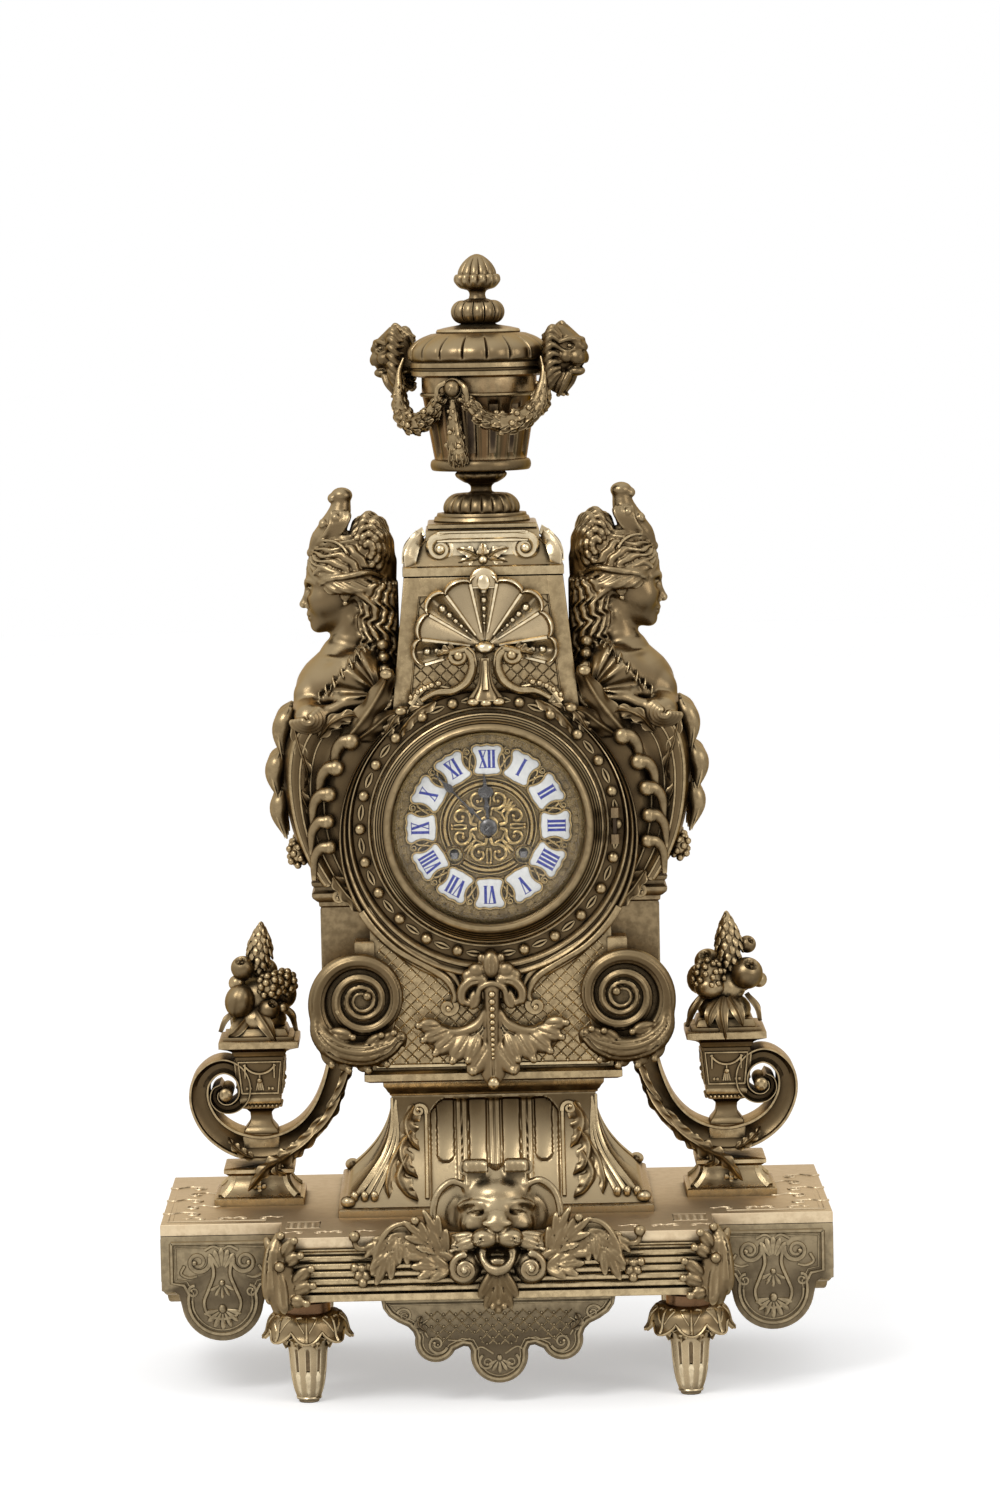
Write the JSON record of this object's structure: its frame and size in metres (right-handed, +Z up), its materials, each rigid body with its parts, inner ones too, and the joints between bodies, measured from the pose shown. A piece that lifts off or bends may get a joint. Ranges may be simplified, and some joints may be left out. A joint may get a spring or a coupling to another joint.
{
  "type": "mantel clock",
  "caption": "Tall patinated bronze mantel clock: round enamel dial in a hinged bezel, busts, scroll brackets with fruit vases, crowning urn and a striking movement.",
  "frame": {"origin": "middle of the outline on the surface that the feet stand on", "axes": "+Z up, -Y out of the dial towards the viewer, +X to the viewer's right"},
  "size_m": [0.344, 0.214, 0.58],
  "materials": {
    "bronze": "patinated cast bronze",
    "rubbed_bronze": "cast bronze rubbed bright on the high spots",
    "brass": "fine turned brass",
    "steel": "blued and dulled steel",
    "bell_metal": "turned bell metal",
    "enamel": "fired white enamel with blue numerals",
    "glass": "clear domed glass"
  },
  "bodies": {
    "clock": {"base_plate": "bronze", "corner_panel_left": "bronze", "corner_panel_right": "bronze", "front_rail": "bronze", "rear_rail": "bronze", "centre_apron": "bronze", "pedestal": "bronze", "case_body": "bronze", "dial_surround": "bronze", "tower": "bronze", "cornice": "bronze", "bracket_left": "bronze", "bracket_right": "bronze", "bracket_plinth_left": "bronze", "bracket_plinth_right": "bronze", "vase_left": "bronze", "vase_right": "bronze", "urn_foot": "bronze", "urn_body": "bronze", "urn_lid": "bronze", "foot_front_left": "rubbed_bronze", "foot_front_right": "rubbed_bronze", "foot_rear_left": "rubbed_bronze", "foot_rear_right": "rubbed_bronze", "lion_mask": "rubbed_bronze", "shell_palmette": "rubbed_bronze", "bust_left": "rubbed_bronze", "bust_right": "rubbed_bronze", "fruit_left": "rubbed_bronze", "fruit_right": "rubbed_bronze", "urn_head_left": "rubbed_bronze", "urn_head_right": "rubbed_bronze", "case_back": "brass", "dial_plate": "brass", "front_plate": "brass", "back_plate": "brass", "strap_left": "brass", "strap_right": "brass", "bezel_hinge": "steel", "bell": "bell_metal", "numeral_plaques": "enamel"},
    "front_door": {"bezel": "rubbed_bronze", "bezel_glass": "glass"},
    "back_cover": {"back_door": "brass"},
    "centre": {"centre_wheel": "brass", "minute_hand": "steel"},
    "hour": {"hour_wheel": "brass", "hour_hand": "steel"},
    "minute": {"minute_wheel": "brass"},
    "second": {"second_wheel": "brass"},
    "going": {"going_barrel": "brass"},
    "third": {"third_wheel": "brass"},
    "escape": {"escape_wheel": "brass"},
    "going_winder": {"going_arbor": "steel"},
    "strike": {"strike_barrel": "brass"},
    "strike_winder": {"strike_arbor": "steel"},
    "anchor": {"pallet_anchor": "steel"},
    "swing": {"pendulum": "brass"},
    "striker": {"hammer": "steel"}
  },
  "joints": [
    {"name": "bezel_open", "type": "hinge", "parent": "clock", "child": "front_door", "pos_m": [0.0646, -0.024, 0.2872], "axis": [0, 0, 1], "range_deg": [0, 110]},
    {"name": "back_door_open", "type": "hinge", "parent": "clock", "child": "back_cover", "pos_m": [-0.0646, 0.0832, 0.2872], "axis": [0, 0, 1], "range_deg": [0, 120]},
    {"name": "hands_turn", "type": "hinge", "parent": "clock", "child": "centre", "pos_m": [0, 0.032, 0.2872], "axis": [0, 1, 0], "continuous": true},
    {"name": "hour_turn", "type": "hinge", "parent": "clock", "child": "hour", "pos_m": [0, 0.032, 0.2872], "axis": [0, 1, 0], "continuous": true},
    {"name": "minute_wheel_turn", "type": "hinge", "parent": "clock", "child": "minute", "pos_m": [0, 0.032, 0.2992], "axis": [0, 1, 0], "continuous": true},
    {"name": "second_wheel_turn", "type": "hinge", "parent": "clock", "child": "second", "pos_m": [0.01306, 0.032, 0.29225], "axis": [0, 1, 0], "continuous": true},
    {"name": "going_barrel_turn", "type": "hinge", "parent": "clock", "child": "going", "pos_m": [0.01775, 0.032, 0.2724], "axis": [0, 1, 0], "continuous": true},
    {"name": "third_wheel_turn", "type": "hinge", "parent": "clock", "child": "third", "pos_m": [-0.00897, 0.032, 0.29923], "axis": [0, 1, 0], "continuous": true},
    {"name": "escape_wheel_turn", "type": "hinge", "parent": "clock", "child": "escape", "pos_m": [0, 0.032, 0.3072], "axis": [0, 1, 0], "continuous": true},
    {"name": "going_wind", "type": "hinge", "parent": "clock", "child": "going_winder", "pos_m": [0.01775, 0.032, 0.2724], "axis": [0, 1, 0], "range_deg": [0, 1980]},
    {"name": "strike_barrel_turn", "type": "hinge", "parent": "clock", "child": "strike", "pos_m": [-0.01775, 0.032, 0.2724], "axis": [0, 1, 0], "continuous": true},
    {"name": "strike_wind", "type": "hinge", "parent": "clock", "child": "strike_winder", "pos_m": [-0.01775, 0.032, 0.2724], "axis": [0, 1, 0], "range_deg": [0, 1980]},
    {"name": "pendulum_swing", "type": "hinge", "parent": "clock", "child": "swing", "pos_m": [0, 0.038, 0.3198], "axis": [0, 1, 0], "range_deg": [-4, 4]},
    {"name": "anchor_rock", "type": "hinge", "parent": "clock", "child": "anchor", "pos_m": [0, 0.032, 0.3198], "axis": [0, 1, 0], "range_deg": [-4, 4]},
    {"name": "hammer_lift", "type": "hinge", "parent": "clock", "child": "striker", "pos_m": [-0.016, 0.032, 0.2902], "axis": [0, 1, 0], "range_deg": [-1, 14]}
  ],
  "couplings": [
    {"joint": "hour_turn", "follows": "hands_turn", "ratio": 0.083333},
    {"joint": "minute_wheel_turn", "follows": "hands_turn", "ratio": -0.33333},
    {"joint": "second_wheel_turn", "follows": "hands_turn", "ratio": -0.16667},
    {"joint": "going_barrel_turn", "follows": "hands_turn", "ratio": 0.033333},
    {"joint": "third_wheel_turn", "follows": "hands_turn", "ratio": -4},
    {"joint": "escape_wheel_turn", "follows": "hands_turn", "ratio": 16},
    {"joint": "anchor_rock", "follows": "pendulum_swing", "ratio": 1}
  ]
}
